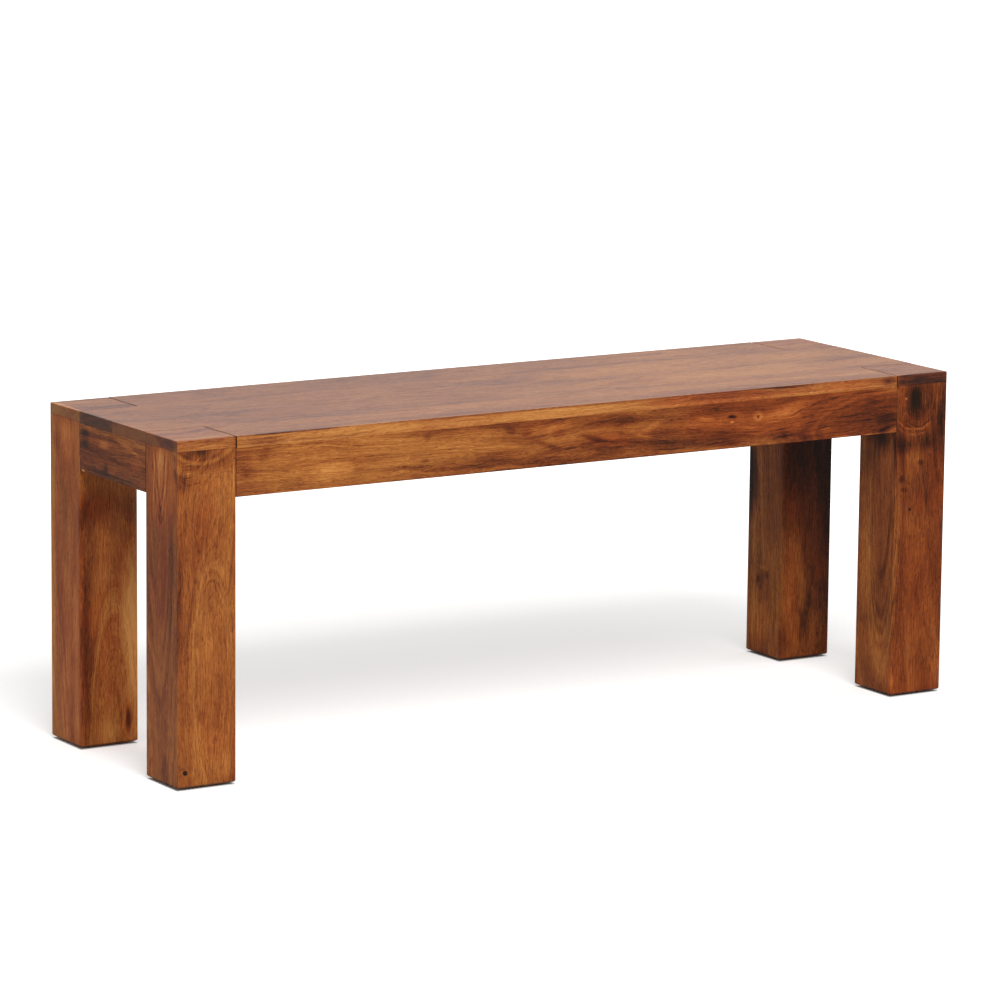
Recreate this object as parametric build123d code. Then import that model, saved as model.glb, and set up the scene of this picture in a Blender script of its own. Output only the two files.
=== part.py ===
from build123d import *
import os

# A backless bench of solid sheesham. An edge-glued seat lies on a frame of four aprons, and four
# square legs bolt into the corners of the frame from inside. A square cap of seat wood closes the
# top of each leg, flush with the seat, so the corner reads as one block. Nothing on it moves.
#
# X runs along the bench, Y from its front to its back and Z up, with the origin on the floor under
# the middle of the seat. All lengths are in millimetres. The four corners are alike, so each corner
# piece is drawn once, at the back right, and mirrored to its place.

# Overall sizes
bench_length = 1200.0
bench_depth = 350.0
bench_height = 450.0

# Seat and caps
board_thick = 15.5
middle_staves = 2
cap_thick = 14.0
cap_kerf = 1.6  # open saw line between a cap and the end of the long edge stave
cap_slip = 0.3  # clearance between a cap and the stave beside it
board_cover = 5.0  # wood left over a blind hole in the seat or a cap

# Legs and aprons
leg_side = 84.0
apron_height = 62.5
apron_thick = 22.0
apron_cover = 6.0  # wood left behind a screw hole in an apron

# Eased edges
outer_arris = 1.2  # the edges of the seat and caps and the lower edges of the aprons
leg_arris = 1.2  # the upright edges of the legs and caps
inner_arris = 1.0  # edges inside the frame
groove_arris = 0.6  # the stave's end at the open line beside a cap
joint_chamfer = 0.3  # the fine line where two pieces meet in one flat face
foot_chamfer = 2.2

# Corner brace, set across the corner behind the leg
brace_thick = 22.0
brace_height = 50.0
brace_flat = 38.0  # how far the leg's inner corner is cut back to face the brace
brace_gap = 1.5  # drawing room, so that the bolts pull the leg against the aprons
flat_margin = 2.0  # the flat starts this much under the brace

# Hanger bolts with their washers and nuts
bolt_radius = 4.0
bolt_core_radius = 3.3
bolt_bite = 45.0  # length in the leg
bolt_tip = 5.0
bolt_bevel = 0.8
bolt_proud = 4.0  # length past the nut
bolt_spacing = 26.0
bolt_clearance = 0.5
washer_radius = 10.0
washer_thick = 1.6
nut_flats = 13.0
nut_height = 6.5

# Wood screws
screw_radius = 2.0
screw_head_radius = 4.0
screw_head_height = 2.8
screw_tip = 3.5
screw_seat = 10.0  # wood under the head of a brace screw
screw_spacing = 26.0
head_clearance = 0.6

# Battens under the seat
batten_width = 45.0
batten_thick = 20.0
batten_housing = 5.0  # depth of the housing in the apron
batten_recess = 6.0  # depth that the screw heads are let in
slot_travel = 4.0  # lets the seat swell and shrink across its width
batten_shares = (-0.29, 0.0, 0.29)

# Dowels
dowel_radius = 4.0
apron_dowel_depth = 20.0
cap_dowel_depth = 20.0
cap_dowel_spacing = 40.0
dowel_room = 1.0  # glue room past each end of a dowel
long_dowel_shares = (-0.42, -0.14, 0.14, 0.42)

# Nail-on glides
glide_radius = 30.0
glide_height = 3.0
glide_edge = 1.2
glide_pin_radius = 1.5
glide_pin_length = 16.0
glide_pin_tip = 3.0

# Fits
snug = 0.05  # between a fastener and its hole, and round a dowel
housing_slip = 0.2
overrun = 5.0  # how far a cut starts outside the wood

# Shares of a screw head, a nut and a bolt point
head_flat_share = 0.6
nut_bevel_share = 0.12
bolt_point_share = 0.25

# Places worked out from the sizes
half_length = bench_length / 2
half_depth = bench_depth / 2
board_bottom = bench_height - board_thick
cap_bottom = bench_height - cap_thick
apron_bottom = board_bottom - apron_height
leg_inner_x = half_length - leg_side
leg_inner_y = half_depth - leg_side
apron_inner_x = half_length - apron_thick
apron_inner_y = half_depth - apron_thick
edge_stave_end = leg_inner_x - cap_kerf
middle_half = leg_inner_y - cap_slip

# The brace crosses the corner at 45 degrees. Each of its long faces, and the leg's flat, is a plane
# where x + y has one value.
diagonal = 2**0.5
flat_sum = leg_inner_x + leg_inner_y + brace_flat
brace_outer_sum = flat_sum - diagonal * brace_gap
brace_inner_sum = brace_outer_sum - diagonal * brace_thick
brace_mid_sum = (brace_outer_sum + brace_inner_sum) / 2
brace_middle_z = apron_bottom + apron_height / 2
brace_bottom = brace_middle_z - brace_height / 2
brace_top = brace_middle_z + brace_height / 2

LOW = (Align.MIN, Align.MIN, Align.MIN)
STANDING = (Align.CENTER, Align.CENTER, Align.MIN)


def block(low, high):
    """A squared length of timber between two opposite corners."""
    size = [b - a for a, b in zip(low, high)]
    return Pos(*low) * Box(*size, align=LOW)


def prism(points, bottom, top):
    """An upright prism on an outline drawn in plan."""
    outline = make_face(Polyline(*points, close=True))
    return Pos(0, 0, bottom) * extrude(outline, top - bottom)


def turned(outline, place):
    """A turned piece: (radius, height) points swung round the Z of its place."""
    half_section = make_face(Polyline(*[(r, 0, z) for r, z in outline], close=True))
    return place * revolve(half_section, Axis.Z)


def aim(point, direction):
    """A place at a point on a surface, with its Z along the given direction."""
    return Plane(origin=point, z_dir=direction).location


def drilling(place, radius, depth):
    """A drill's path that starts outside the surface and runs a depth into the wood."""
    return place * Pos(0, 0, -overrun) * Cylinder(radius, depth + overrun, align=STANDING)


def mirrored(shape, side_x, side_y):
    """A back right corner piece, mirrored to the corner with the given signs."""
    if side_x < 0:
        shape = mirror(shape, about=Plane.YZ)
    if side_y < 0:
        shape = mirror(shape, about=Plane.XZ)
    return shape


def upright(edge):
    """Whether an edge stands up or slopes, and doesn't lie level."""
    box = edge.bounding_box()
    return box.size.Z > box.size.X


# Places of the fasteners at the back right corner

def bolt_places():
    """Where the hanger bolts leave the leg's flat, aimed at the middle of the bench."""
    x = leg_inner_x + brace_flat / 2
    y = leg_inner_y + brace_flat / 2
    heights = [brace_middle_z + side * bolt_spacing / 2 for side in (-1, 1)]
    return [aim((x, y, z), (-1, -1, 0)) for z in heights]


def brace_screw_places(into_long_apron):
    """Where the brace screws cross the face between the brace and an apron, aimed into the apron."""
    heights = [brace_middle_z + side * screw_spacing / 2 for side in (-1, 1)]
    if into_long_apron:
        x = brace_mid_sum - apron_inner_y
        return [aim((x, apron_inner_y, z), (0, 1, 0)) for z in heights]
    y = brace_mid_sum - apron_inner_x
    return [aim((apron_inner_x, y, z), (1, 0, 0)) for z in heights]


def batten_x():
    return [share * bench_length for share in batten_shares]


def stave_bounds():
    """The front and back of each stave, from the front of the seat to its back."""
    width = 2 * middle_half / middle_staves
    lines = [-middle_half + width * i for i in range(middle_staves + 1)]
    lines = [-half_depth] + lines + [half_depth]
    return list(zip(lines[:-1], lines[1:]))


def batten_screw_y():
    """One screw in each stave, in the middle of the width that the aprons leave free."""
    places = []
    for front, back in stave_bounds():
        low = max(front, -apron_inner_y)
        high = min(back, apron_inner_y)
        places.append((low + high) / 2)
    return places


def apron_dowel_xy():
    """Where the dowels between the aprons and the seat stand. An end one is halfway from leg to brace."""
    long_y = half_depth - apron_thick / 2
    end_x = half_length - apron_thick / 2
    end_y = (leg_inner_y + brace_outer_sum - apron_inner_x) / 2
    long_places = [(share * 2 * leg_inner_x, side * long_y) for share in long_dowel_shares for side in (-1, 1)]
    end_places = [(side_x * end_x, side_y * end_y) for side_x in (-1, 1) for side_y in (-1, 1)]
    return long_places + end_places


def cap_dowel_xy():
    """Where the two dowels of the back right cap stand, on a diagonal clear of the leg's flat."""
    x = half_length - leg_side / 2
    y = half_depth - leg_side / 2
    step = cap_dowel_spacing / 2
    return [(x - step, y + step), (x + step, y - step)]


# Seat

def stave(front, back):
    """One stave of the seat. The two edge staves stop at the caps, the others run full length."""
    is_edge = back == half_depth or front == -half_depth
    end = edge_stave_end if is_edge else half_length
    piece = block((-end, front, board_bottom), (end, back, bench_height))
    if is_edge:
        outside = Axis.Y if back == half_depth else -Axis.Y
        piece = fillet(piece.edges().filter_by(Axis.Y).group_by(Axis.Z)[-1], groove_arris)
        shown = piece.edges().filter_by(Axis.X).group_by(outside)[-1]
    else:
        shown = piece.edges().filter_by(Axis.Y)
    piece = fillet(shown.group_by(Axis.Z)[-1], outer_arris)
    piece = chamfer(shown.group_by(Axis.Z)[0], joint_chamfer)
    depth = board_thick - board_cover
    for x, y in apron_dowel_xy():
        if front < y < back:
            piece -= drilling(aim((x, y, board_bottom), (0, 0, 1)), dowel_radius + snug, depth)
    for x in batten_x():
        for y in batten_screw_y():
            if front < y < back:
                piece -= drilling(aim((x, y, board_bottom), (0, 0, 1)), screw_radius + snug, depth)
    return piece


def cap():
    """The square of seat wood over the back right leg."""
    piece = block((leg_inner_x, leg_inner_y, cap_bottom), (half_length, half_depth, bench_height))
    piece = fillet(piece.edges().filter_by(Axis.Z), leg_arris)
    top_face = piece.faces().sort_by(Axis.Z)[-1]
    piece = fillet(top_face.edges(), outer_arris)
    for x, y in cap_dowel_xy():
        piece -= drilling(aim((x, y, cap_bottom), (0, 0, 1)), dowel_radius + snug, cap_thick - board_cover)
    return piece


# Legs

def leg():
    """The back right post, with its inner corner cut back behind the aprons to face the brace."""
    post = block((leg_inner_x, leg_inner_y, glide_height), (half_length, half_depth, cap_bottom))
    post = chamfer(post.edges().group_by(Axis.Z)[0], foot_chamfer)
    post = fillet(post.edges().filter_by(upright), leg_arris)
    corner = [
        (leg_inner_x - overrun, leg_inner_y - overrun),
        (leg_inner_x + brace_flat + overrun, leg_inner_y - overrun),
        (leg_inner_x - overrun, leg_inner_y + brace_flat + overrun),
    ]
    post -= prism(corner, brace_bottom - flat_margin, cap_bottom + overrun)
    for place in bolt_places():
        into_leg = place * Rot(180, 0, 0)
        post -= drilling(into_leg, bolt_core_radius + snug, bolt_bite + dowel_room)
    for x, y in cap_dowel_xy():
        post -= drilling(aim((x, y, cap_bottom), (0, 0, -1)), dowel_radius + snug, cap_dowel_depth)
    middle = (half_length - leg_side / 2, half_depth - leg_side / 2, glide_height)
    post -= drilling(aim(middle, (0, 0, 1)), glide_pin_radius + snug, glide_pin_length + dowel_room)
    return post


def glide():
    """A nail-on glide under the back right leg: a low disc and its pin."""
    outline = [
        (0, 0),
        (glide_radius - glide_edge, 0),
        (glide_radius, glide_edge),
        (glide_radius, glide_height),
        (glide_pin_radius, glide_height),
        (glide_pin_radius, glide_height + glide_pin_length - glide_pin_tip),
        (0, glide_height + glide_pin_length),
    ]
    return turned(outline, Pos(half_length - leg_side / 2, half_depth - leg_side / 2, 0))


# Apron frame

def eased_apron(low, high, along, outside):
    """An apron board with its lower edges eased and a fine chamfer where the seat meets it."""
    piece = block(low, high)
    long_edges = piece.edges().filter_by(along)
    outer = long_edges.group_by(outside)[-1]
    inner = long_edges.group_by(outside)[0]
    piece = fillet(outer.group_by(Axis.Z)[0], outer_arris)
    piece = fillet(inner.group_by(Axis.Z)[0], inner_arris)
    face_edges = piece.edges().group_by(outside)[-1]
    return chamfer(face_edges.group_by(Axis.Z)[-1] + face_edges.filter_by(Axis.Z), joint_chamfer)


def long_apron():
    """The back apron, housed for the battens and drilled for the dowels and brace screws."""
    low = (-leg_inner_x, apron_inner_y, apron_bottom)
    piece = eased_apron(low, (leg_inner_x, half_depth, board_bottom), Axis.X, Axis.Y)
    half_slot = batten_width / 2 + housing_slip
    for x in batten_x():
        low = (x - half_slot, apron_inner_y - overrun, board_bottom - batten_thick - housing_slip)
        piece -= block(low, (x + half_slot, apron_inner_y + batten_housing, board_bottom + overrun))
    for x, y in apron_dowel_xy():
        if y > apron_inner_y:
            piece -= drilling(aim((x, y, board_bottom), (0, 0, -1)), dowel_radius + snug, apron_dowel_depth)
    for place in brace_screw_places(into_long_apron=True):
        hole = drilling(place, screw_radius + snug, apron_thick - apron_cover)
        piece -= hole
        piece -= mirrored(hole, -1, 1)
    return piece


def end_apron():
    """The right apron, between the two legs of its end."""
    low = (apron_inner_x, -leg_inner_y, apron_bottom)
    piece = eased_apron(low, (half_length, leg_inner_y, board_bottom), Axis.Y, Axis.X)
    for x, y in apron_dowel_xy():
        if x > apron_inner_x:
            piece -= drilling(aim((x, y, board_bottom), (0, 0, -1)), dowel_radius + snug, apron_dowel_depth)
    for place in brace_screw_places(into_long_apron=False):
        hole = drilling(place, screw_radius + snug, apron_thick - apron_cover)
        piece -= hole
        piece -= mirrored(hole, 1, -1)
    return piece


def brace():
    """The block across the back right corner, mitred to both aprons, that the leg is bolted to."""
    points = [
        (brace_outer_sum - apron_inner_y, apron_inner_y),
        (apron_inner_x, brace_outer_sum - apron_inner_x),
        (apron_inner_x, brace_inner_sum - apron_inner_x),
        (brace_inner_sum - apron_inner_y, apron_inner_y),
    ]
    piece = prism(points, brace_bottom, brace_top)
    inner_face = piece.faces().sort_by(Axis((0, 0, 0), (1, 1, 0)))[0]
    piece = chamfer(inner_face.edges().filter_by(Axis.Z, reverse=True), inner_arris)
    for place in bolt_places():
        piece -= drilling(place, bolt_radius + bolt_clearance, brace_gap + brace_thick + overrun)
    for into_long_apron in (True, False):
        for place in brace_screw_places(into_long_apron):
            head = place * Pos(0, 0, -screw_seat) * Rot(180, 0, 0)
            piece -= head * Cylinder(screw_head_radius + head_clearance, 2 * brace_thick, align=STANDING)
            piece -= drilling(place * Pos(0, 0, -screw_seat), screw_radius + snug, screw_seat + overrun)
    return piece


def batten(x):
    """A cross batten whose ends sit in the housings, slotted so that the seat can move."""
    reach = apron_inner_y + batten_housing
    half_width = batten_width / 2
    low = board_bottom - batten_thick
    piece = block((x - half_width, -reach, low), (x + half_width, reach, board_bottom))
    piece = chamfer(piece.edges().filter_by(Axis.Y).group_by(Axis.Z)[0], inner_arris)
    for y in batten_screw_y():
        shank = 2 * (screw_radius + head_clearance)
        head = 2 * (screw_head_radius + head_clearance)
        place = Pos(x, y, low) * Rot(0, 0, 90)
        piece -= place * Pos(0, 0, -overrun) * extrude(
            SlotOverall(shank + slot_travel, shank), batten_thick + 2 * overrun
        )
        piece -= place * Pos(0, 0, -overrun) * extrude(
            SlotOverall(head + slot_travel, head), batten_recess + overrun
        )
    return piece


# Fasteners

def dowel(x, y, joint_z, depth_down, depth_up):
    """A glued dowel across a flat joint, with glue room past its ends."""
    low = joint_z - depth_down + dowel_room
    length = depth_down + depth_up - 2 * dowel_room
    return Pos(x, y, low) * Cylinder(dowel_radius, length, align=STANDING)


def wood_screw(place, length):
    """A pan-head screw. Its place is under the head, with Z into the wood."""
    outline = [
        (0, -screw_head_height),
        (head_flat_share * screw_head_radius, -screw_head_height),
        (screw_head_radius, 0),
        (screw_radius, 0),
        (screw_radius, length - screw_tip),
        (0, length),
    ]
    return turned(outline, place)


def hanger_bolt(place):
    """A bolt with a wood thread in the leg and a machine thread through the brace."""
    end = brace_gap + brace_thick + washer_thick + nut_height + bolt_proud
    outline = [
        (0, -bolt_bite),
        (bolt_point_share * bolt_core_radius, -bolt_bite),
        (bolt_core_radius, -bolt_bite + bolt_tip),
        (bolt_core_radius, 0),
        (bolt_radius, 0),
        (bolt_radius, end - bolt_bevel),
        (bolt_radius - bolt_bevel, end),
        (0, end),
    ]
    return turned(outline, place)


def washer(place):
    """A flat ring against the brace's inner face."""
    inner = bolt_radius + bolt_clearance / 2
    outline = [(inner, 0), (washer_radius, 0), (washer_radius, washer_thick), (inner, washer_thick)]
    return turned(outline, place * Pos(0, 0, brace_gap + brace_thick))


def nut(place):
    """A hexagon nut with bevelled corners, drawn up against the washer."""
    seat = place * Pos(0, 0, brace_gap + brace_thick + washer_thick)
    hexagon = extrude(RegularPolygon(nut_flats / 2, 6, major_radius=False), nut_height)
    corner = nut_flats / 3**0.5
    bevel = nut_bevel_share * nut_flats
    outline = [
        (0, 0),
        (corner - bevel, 0),
        (corner, bevel / 2),
        (corner, nut_height - bevel / 2),
        (corner - bevel, nut_height),
        (0, nut_height),
    ]
    body = hexagon & turned(outline, Pos(0, 0, 0))
    return seat * (body - Cylinder(bolt_radius + snug, 2 * nut_height + overrun))


# The corners of the bench and their names
corners = {
    "front_left": (-1, -1),
    "front_right": (1, -1),
    "back_left": (-1, 1),
    "back_right": (1, 1),
}

parts = {}
stave_names = ["front"] + [f"middle_{i + 1}" for i in range(middle_staves)] + ["back"]
for name, (front, back) in zip(stave_names, stave_bounds()):
    parts[f"seat_stave_{name}"] = stave(front, back)

parts["apron_back"] = long_apron()
parts["apron_front"] = mirrored(parts["apron_back"], 1, -1)
parts["apron_right"] = end_apron()
parts["apron_left"] = mirrored(parts["apron_right"], -1, 1)

for make, kind in ((leg, "leg"), (cap, "cap"), (brace, "corner_brace"), (glide, "glide")):
    piece = make()
    for name, (side_x, side_y) in corners.items():
        parts[f"{kind}_{name}"] = mirrored(piece, side_x, side_y)

for name, x in zip(("left", "middle", "right"), batten_x()):
    parts[f"batten_{name}"] = batten(x)

# Each kind of fastener is one group of separate pieces
bolts = [hanger_bolt(place) for place in bolt_places()]
washers = [washer(place) for place in bolt_places()]
nuts = [nut(place) for place in bolt_places()]
corner_screws = [
    wood_screw(place * Pos(0, 0, -screw_seat), screw_seat + apron_thick - apron_cover - dowel_room)
    for into_long_apron in (True, False)
    for place in brace_screw_places(into_long_apron)
]
cap_dowels = [dowel(x, y, cap_bottom, cap_dowel_depth, cap_thick - board_cover) for x, y in cap_dowel_xy()]
corner_groups = {
    "hanger_bolts": bolts,
    "bolt_washers": washers,
    "bolt_nuts": nuts,
    "brace_screws": corner_screws,
    "cap_dowels": cap_dowels,
}
groups = {
    name: [mirrored(piece, side_x, side_y) for side_x, side_y in corners.values() for piece in pieces]
    for name, pieces in corner_groups.items()
}
groups["apron_dowels"] = [
    dowel(x, y, board_bottom, apron_dowel_depth, board_thick - board_cover) for x, y in apron_dowel_xy()
]
batten_under_head = batten_thick - batten_recess
batten_screw_length = batten_under_head + board_thick - board_cover - dowel_room
groups["batten_screws"] = [
    wood_screw(aim((x, y, board_bottom - batten_under_head), (0, 0, 1)), batten_screw_length)
    for x in batten_x()
    for y in batten_screw_y()
]
for name, pieces in groups.items():
    parts[name] = Compound(children=[piece.solid() for piece in pieces])

os.makedirs("parts", exist_ok=True)
for name, piece in parts.items():
    export_step(piece, f"parts/{name}.step")
print(len(parts), "nodes written")
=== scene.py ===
import math
from functools import partial

import bpy
from mathutils import Matrix, Vector


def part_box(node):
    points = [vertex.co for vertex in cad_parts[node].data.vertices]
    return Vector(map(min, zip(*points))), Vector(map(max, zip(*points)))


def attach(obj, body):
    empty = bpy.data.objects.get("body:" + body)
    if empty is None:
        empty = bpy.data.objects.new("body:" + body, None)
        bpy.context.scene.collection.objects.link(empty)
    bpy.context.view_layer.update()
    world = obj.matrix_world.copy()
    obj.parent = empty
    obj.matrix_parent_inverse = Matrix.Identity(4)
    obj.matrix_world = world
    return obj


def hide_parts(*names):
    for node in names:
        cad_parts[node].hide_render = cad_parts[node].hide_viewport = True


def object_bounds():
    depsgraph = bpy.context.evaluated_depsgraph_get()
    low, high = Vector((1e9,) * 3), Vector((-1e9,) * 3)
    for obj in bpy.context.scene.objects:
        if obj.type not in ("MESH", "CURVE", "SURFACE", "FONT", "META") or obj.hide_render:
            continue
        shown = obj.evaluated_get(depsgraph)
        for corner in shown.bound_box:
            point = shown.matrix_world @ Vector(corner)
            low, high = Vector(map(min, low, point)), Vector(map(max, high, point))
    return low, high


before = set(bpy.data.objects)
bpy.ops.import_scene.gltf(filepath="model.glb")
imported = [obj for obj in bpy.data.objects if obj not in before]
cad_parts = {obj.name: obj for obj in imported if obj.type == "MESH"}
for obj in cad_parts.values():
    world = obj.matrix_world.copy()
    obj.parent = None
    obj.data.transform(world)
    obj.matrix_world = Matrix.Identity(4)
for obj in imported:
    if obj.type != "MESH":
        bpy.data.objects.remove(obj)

# A backless bench of solid sheesham, lacquered satin: four square legs, aprons flush with them, and a
# seat of glued staves with a cap over each leg. X runs along it, Y to its back and Z up. Blender's
# unit is the metre. The timber's figure is worked in millimetres.

cad_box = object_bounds()
MM = 0.001


def linear(hex_colour):
    """An sRGB hex colour as linear red, green, blue and alpha."""
    parts = [int(hex_colour[i:i + 2], 16) / 255 for i in (1, 3, 5)]
    return [c / 12.92 if c <= 0.04045 else ((c + 0.055) / 1.055) ** 2.4 for c in parts] + [1.0]


def add(tree, kind, *values, named=None, out=0, **settings):
    """Adds a node with its settings, and gives one of its outputs.

    The values go to its inputs in order, or by key where they are named. A value that is another
    node's output is linked, and None leaves an input alone.
    """
    made = tree.nodes.new(kind)
    for key, value in settings.items():
        setattr(made, key, value)
    for key, value in [*enumerate(values), *(named or {}).items()]:
        if isinstance(value, bpy.types.NodeSocket):
            tree.links.new(value, made.inputs[key])
        elif value is not None:
            made.inputs[key].default_value = value
    return made.outputs[out] if made.outputs else made


def new_material(name):
    """An empty material, and what adds nodes to it."""
    material = bpy.data.materials.new(name)
    material.use_nodes = True
    material.node_tree.nodes.clear()
    return material, partial(add, material.node_tree)


def place_in_mm(put):
    """Where a point lies on the bench, in millimetres."""
    place = put("ShaderNodeTexCoord", out="Object")
    return put("ShaderNodeVectorMath", place, None, None, 1 / MM, operation="SCALE")


# Each seed starts its noise at a place of its own, so that no two patterns are alike
SEED_STEP = (3.7, 1.3, 2.9)
SEED_START = (0.5, -7.1, 11.3)


def pattern(put, where, size, seed, detail=2.0, roughness=0.5, out=0):
    """Noise with features of about `size` millimetres along each axis."""
    scale = [1.0 / part for part in size]
    away = [step * seed + start for step, start in zip(SEED_STEP, SEED_START)]
    scaled = put("ShaderNodeVectorMath", where, scale, away, operation="MULTIPLY_ADD")
    return put("ShaderNodeTexNoise", scaled, out=out,
               named={"Scale": 1.0, "Detail": detail, "Roughness": roughness})


def colour_run(put, value, stops):
    """The colour at a value, through (value, hex colour) stops."""
    first, last = stops[0][0], stops[-1][0]
    colour = put("ShaderNodeValToRGB", put("ShaderNodeMapRange", value, first, last))
    elements = colour.node.color_ramp.elements
    for _ in stops[2:]:
        elements.new(1.0)
    for element, (place, shade) in zip(elements, stops):
        element.position = (place - first) / (last - first)
        element.color = linear(shade)
    return colour


# Turns that bring each grain direction onto X
GRAIN_TURNS = {"X": (0, 0, 0), "Y": (0, 0, -math.pi / 2), "Z": (0, math.pi / 2, 0)}

# Sheesham's own colours, from sapwood to the darkest vein. One run is golden and one is redder.
GOLDEN = [(-0.18, "#F3CB8A"), (0.0, "#E2A75E"), (0.2, "#CD8A45"), (0.4, "#AD6A30"), (0.6, "#854721"),
          (0.8, "#532A12"), (1.0, "#241207")]
REDDISH = [(-0.18, "#EDA65C"), (0.0, "#D48A48"), (0.2, "#B9662E"), (0.4, "#98491D"), (0.6, "#713113"),
           (0.8, "#461D0C"), (1.0, "#1E0D06")]
END_GRAIN = "#3C2116"
# How square to the grain a face starts and ends to take that colour, and how much of it
END_GRAIN_FACING = (0.55, 0.9)
END_GRAIN_SHARE = 0.5
LACQUER_IOR = 1.45

# The figure's sizes in millimetres, along the grain and then across it
SLOW_BEND_SIZE = (280, 90, 90)
SLOW_BEND = (0, 30, 30)
QUICK_BEND_SIZE = (55, 20, 20)
QUICK_BEND = (12, 9, 9)
BAND_LENGTH = 380
ZONE_LENGTH = 300
VEIN_LENGTH = 260
RIPPLE_SIZE = (14, 16, 16)
BOARD_FIBRE = 90.0
LEG_FIBRE = 40.0
# Sheesham's fibres are about 0.03 mm thick and its pores 0.2 mm wide, both too fine to show. They are
# drawn as bundles 1.4 mm and 1.1 mm wide.
FIBRE_WIDTH = 1.4
PORE_SIZE = (8, 1.1, 1.1)
# The grain's height under the lacquer, and the shares of it that fibres rise and pores sink
GRAIN_HEIGHT = 0.05
FIBRE_RISE = 0.6
PORE_SINK = 0.5
LACQUER_BUMP = 0.25
# A band saw leaves ridges about 3 mm apart
SAW_RIDGE = 3.0
SAW_WOBBLE = 2.0
SAW_BUMP = 0.5
# A joint's dark line is this wide to each side, and has faded at the second distance
JOINT_LINE = (0.4, 1.6)

# A vein's and a zone's width as shares of a ring's
VEIN_SHARE = 0.6
ZONE_SHARE = 5
# Noise runs between about these values, and the two after them are a vein's and a pore's soft edge
NOISE_SPAN = (0.3, 0.7)
VEIN_EDGE = (0.56, 0.7)
PORE_EDGE = (0.56, 0.68)
# Marks and eyes follow this share of the quick bend
WAVER = 0.45
# An eye's own rings show alone out to this share of its radii, and start this far on in the noise
EYE_HEART = 0.5
EYE_STEP = 31

# How much each part of the figure darkens the wood, on a scale from pale at 0 to the darkest vein at 1
BAND_TONE = 0.5
ZONE_TONE = 0.3
FIBRE_TONE = 0.8
RIPPLE_TONE = 0.1
VEIN_TONE = 0.16
PORE_TONE = 0.13
JOINT_TONE = 0.16
# How much the zones and bands turn it from golden to red
ZONE_RED = 1.4
BAND_RED = 0.6

lowest, highest = cad_box[0] / MM, cad_box[1] / MM


def spot(x, back, down):
    """A place on the bench: along from its left end, back from its front and down from its top."""
    return (lowest.x + x, lowest.y + back, highest.z - down)


def tilt(along, back, down):
    """The turn that lays a shape's length in this direction, on a front face or an end face."""
    if back == 0:
        return (0, math.atan2(down, along), 0)
    return (-math.atan2(down, back), 0, 0)


def mark(x, back, down, radii, tone, red=0.0, soft=0.2, slant=0.0):
    """A patch in the wood, darker by its tone and redder by its red, or lighter and more golden.

    Its radii lie along, back and down. It fades from the share `soft` of them, and slants on its face
    by so many degrees.
    """
    run = (math.cos(math.radians(slant)), math.sin(math.radians(slant)))
    turn = tilt(run[0], 0, run[1]) if radii[1] < radii[0] else tilt(0, *run)
    return dict(at=spot(x, back, down), radii=radii, turn=turn, tone=tone, red=red, soft=soft)


STROKE_DEPTH = 7.0


def stroke(points, width, tone, red=0.0, soft=0.0):
    """A fine line of darker or lighter wood, through (x, back, down) places on one face."""
    made = []
    for first, last in zip(points, points[1:]):
        run = [b - a for a, b in zip(first, last)]
        middle = [(a + b) / 2 for a, b in zip(first, last)]
        half = math.dist(first, last) / 2 + width
        radii = (half, STROKE_DEPTH, width / 2) if run[1] == 0 else (STROKE_DEPTH, half, width / 2)
        made.append(dict(at=spot(*middle), radii=radii, turn=tilt(*run), tone=tone, red=red, soft=soft))
    return made


def eye(x, back, down, radii, rings=3.0, pull=0.9, wide=2.4):
    """Rings that close round one place, as round a knot, and turn the grain about it.

    So many rings lie in its radii. They pull the grain by this share, which fades out this many
    radii away.
    """
    return dict(at=spot(x, back, down), radii=radii, turn=(0, 0, 0), rings=rings, pull=pull, wide=wide)


def swing(put, where, size, amount, seed, detail):
    """A shift that is as often one way as the other, by up to about half the amount."""
    noise = pattern(put, where, size, seed, detail, roughness=0.6, out=1)
    back = [-part / 2 for part in amount]
    return put("ShaderNodeVectorMath", noise, amount, back, operation="MULTIPLY_ADD")


def reach(put, where, shape):
    """Distance from a shape's middle as a share of its radii: 1 on its surface."""
    turned = put("ShaderNodeVectorRotate", where, shape["at"], None, None, shape["turn"],
                 rotation_type="EULER_XYZ", invert=True)
    share = [1 / radius for radius in shape["radii"]]
    away = [-place / radius for place, radius in zip(shape["at"], shape["radii"])]
    inside = put("ShaderNodeVectorMath", turned, share, away, operation="MULTIPLY_ADD")
    return put("ShaderNodeVectorMath", inside, operation="LENGTH", out="Value")


def rings_of(put, bent, pith, lean):
    """How far along the grain a point lies, and how far from the pith, which leans as it runs."""
    parts = put("ShaderNodeSeparateXYZ", bent).node.outputs
    along = parts["X"]
    offsets = []
    for part, start, slope in zip("YZ", pith, lean):
        centre = put("ShaderNodeMath", along, slope, start, operation="MULTIPLY_ADD")
        offsets.append(put("ShaderNodeMath", parts[part], centre, operation="SUBTRACT"))
    across = put("ShaderNodeCombineXYZ", *offsets)
    return along, put("ShaderNodeVectorMath", across, operation="LENGTH", out="Value")


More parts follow.
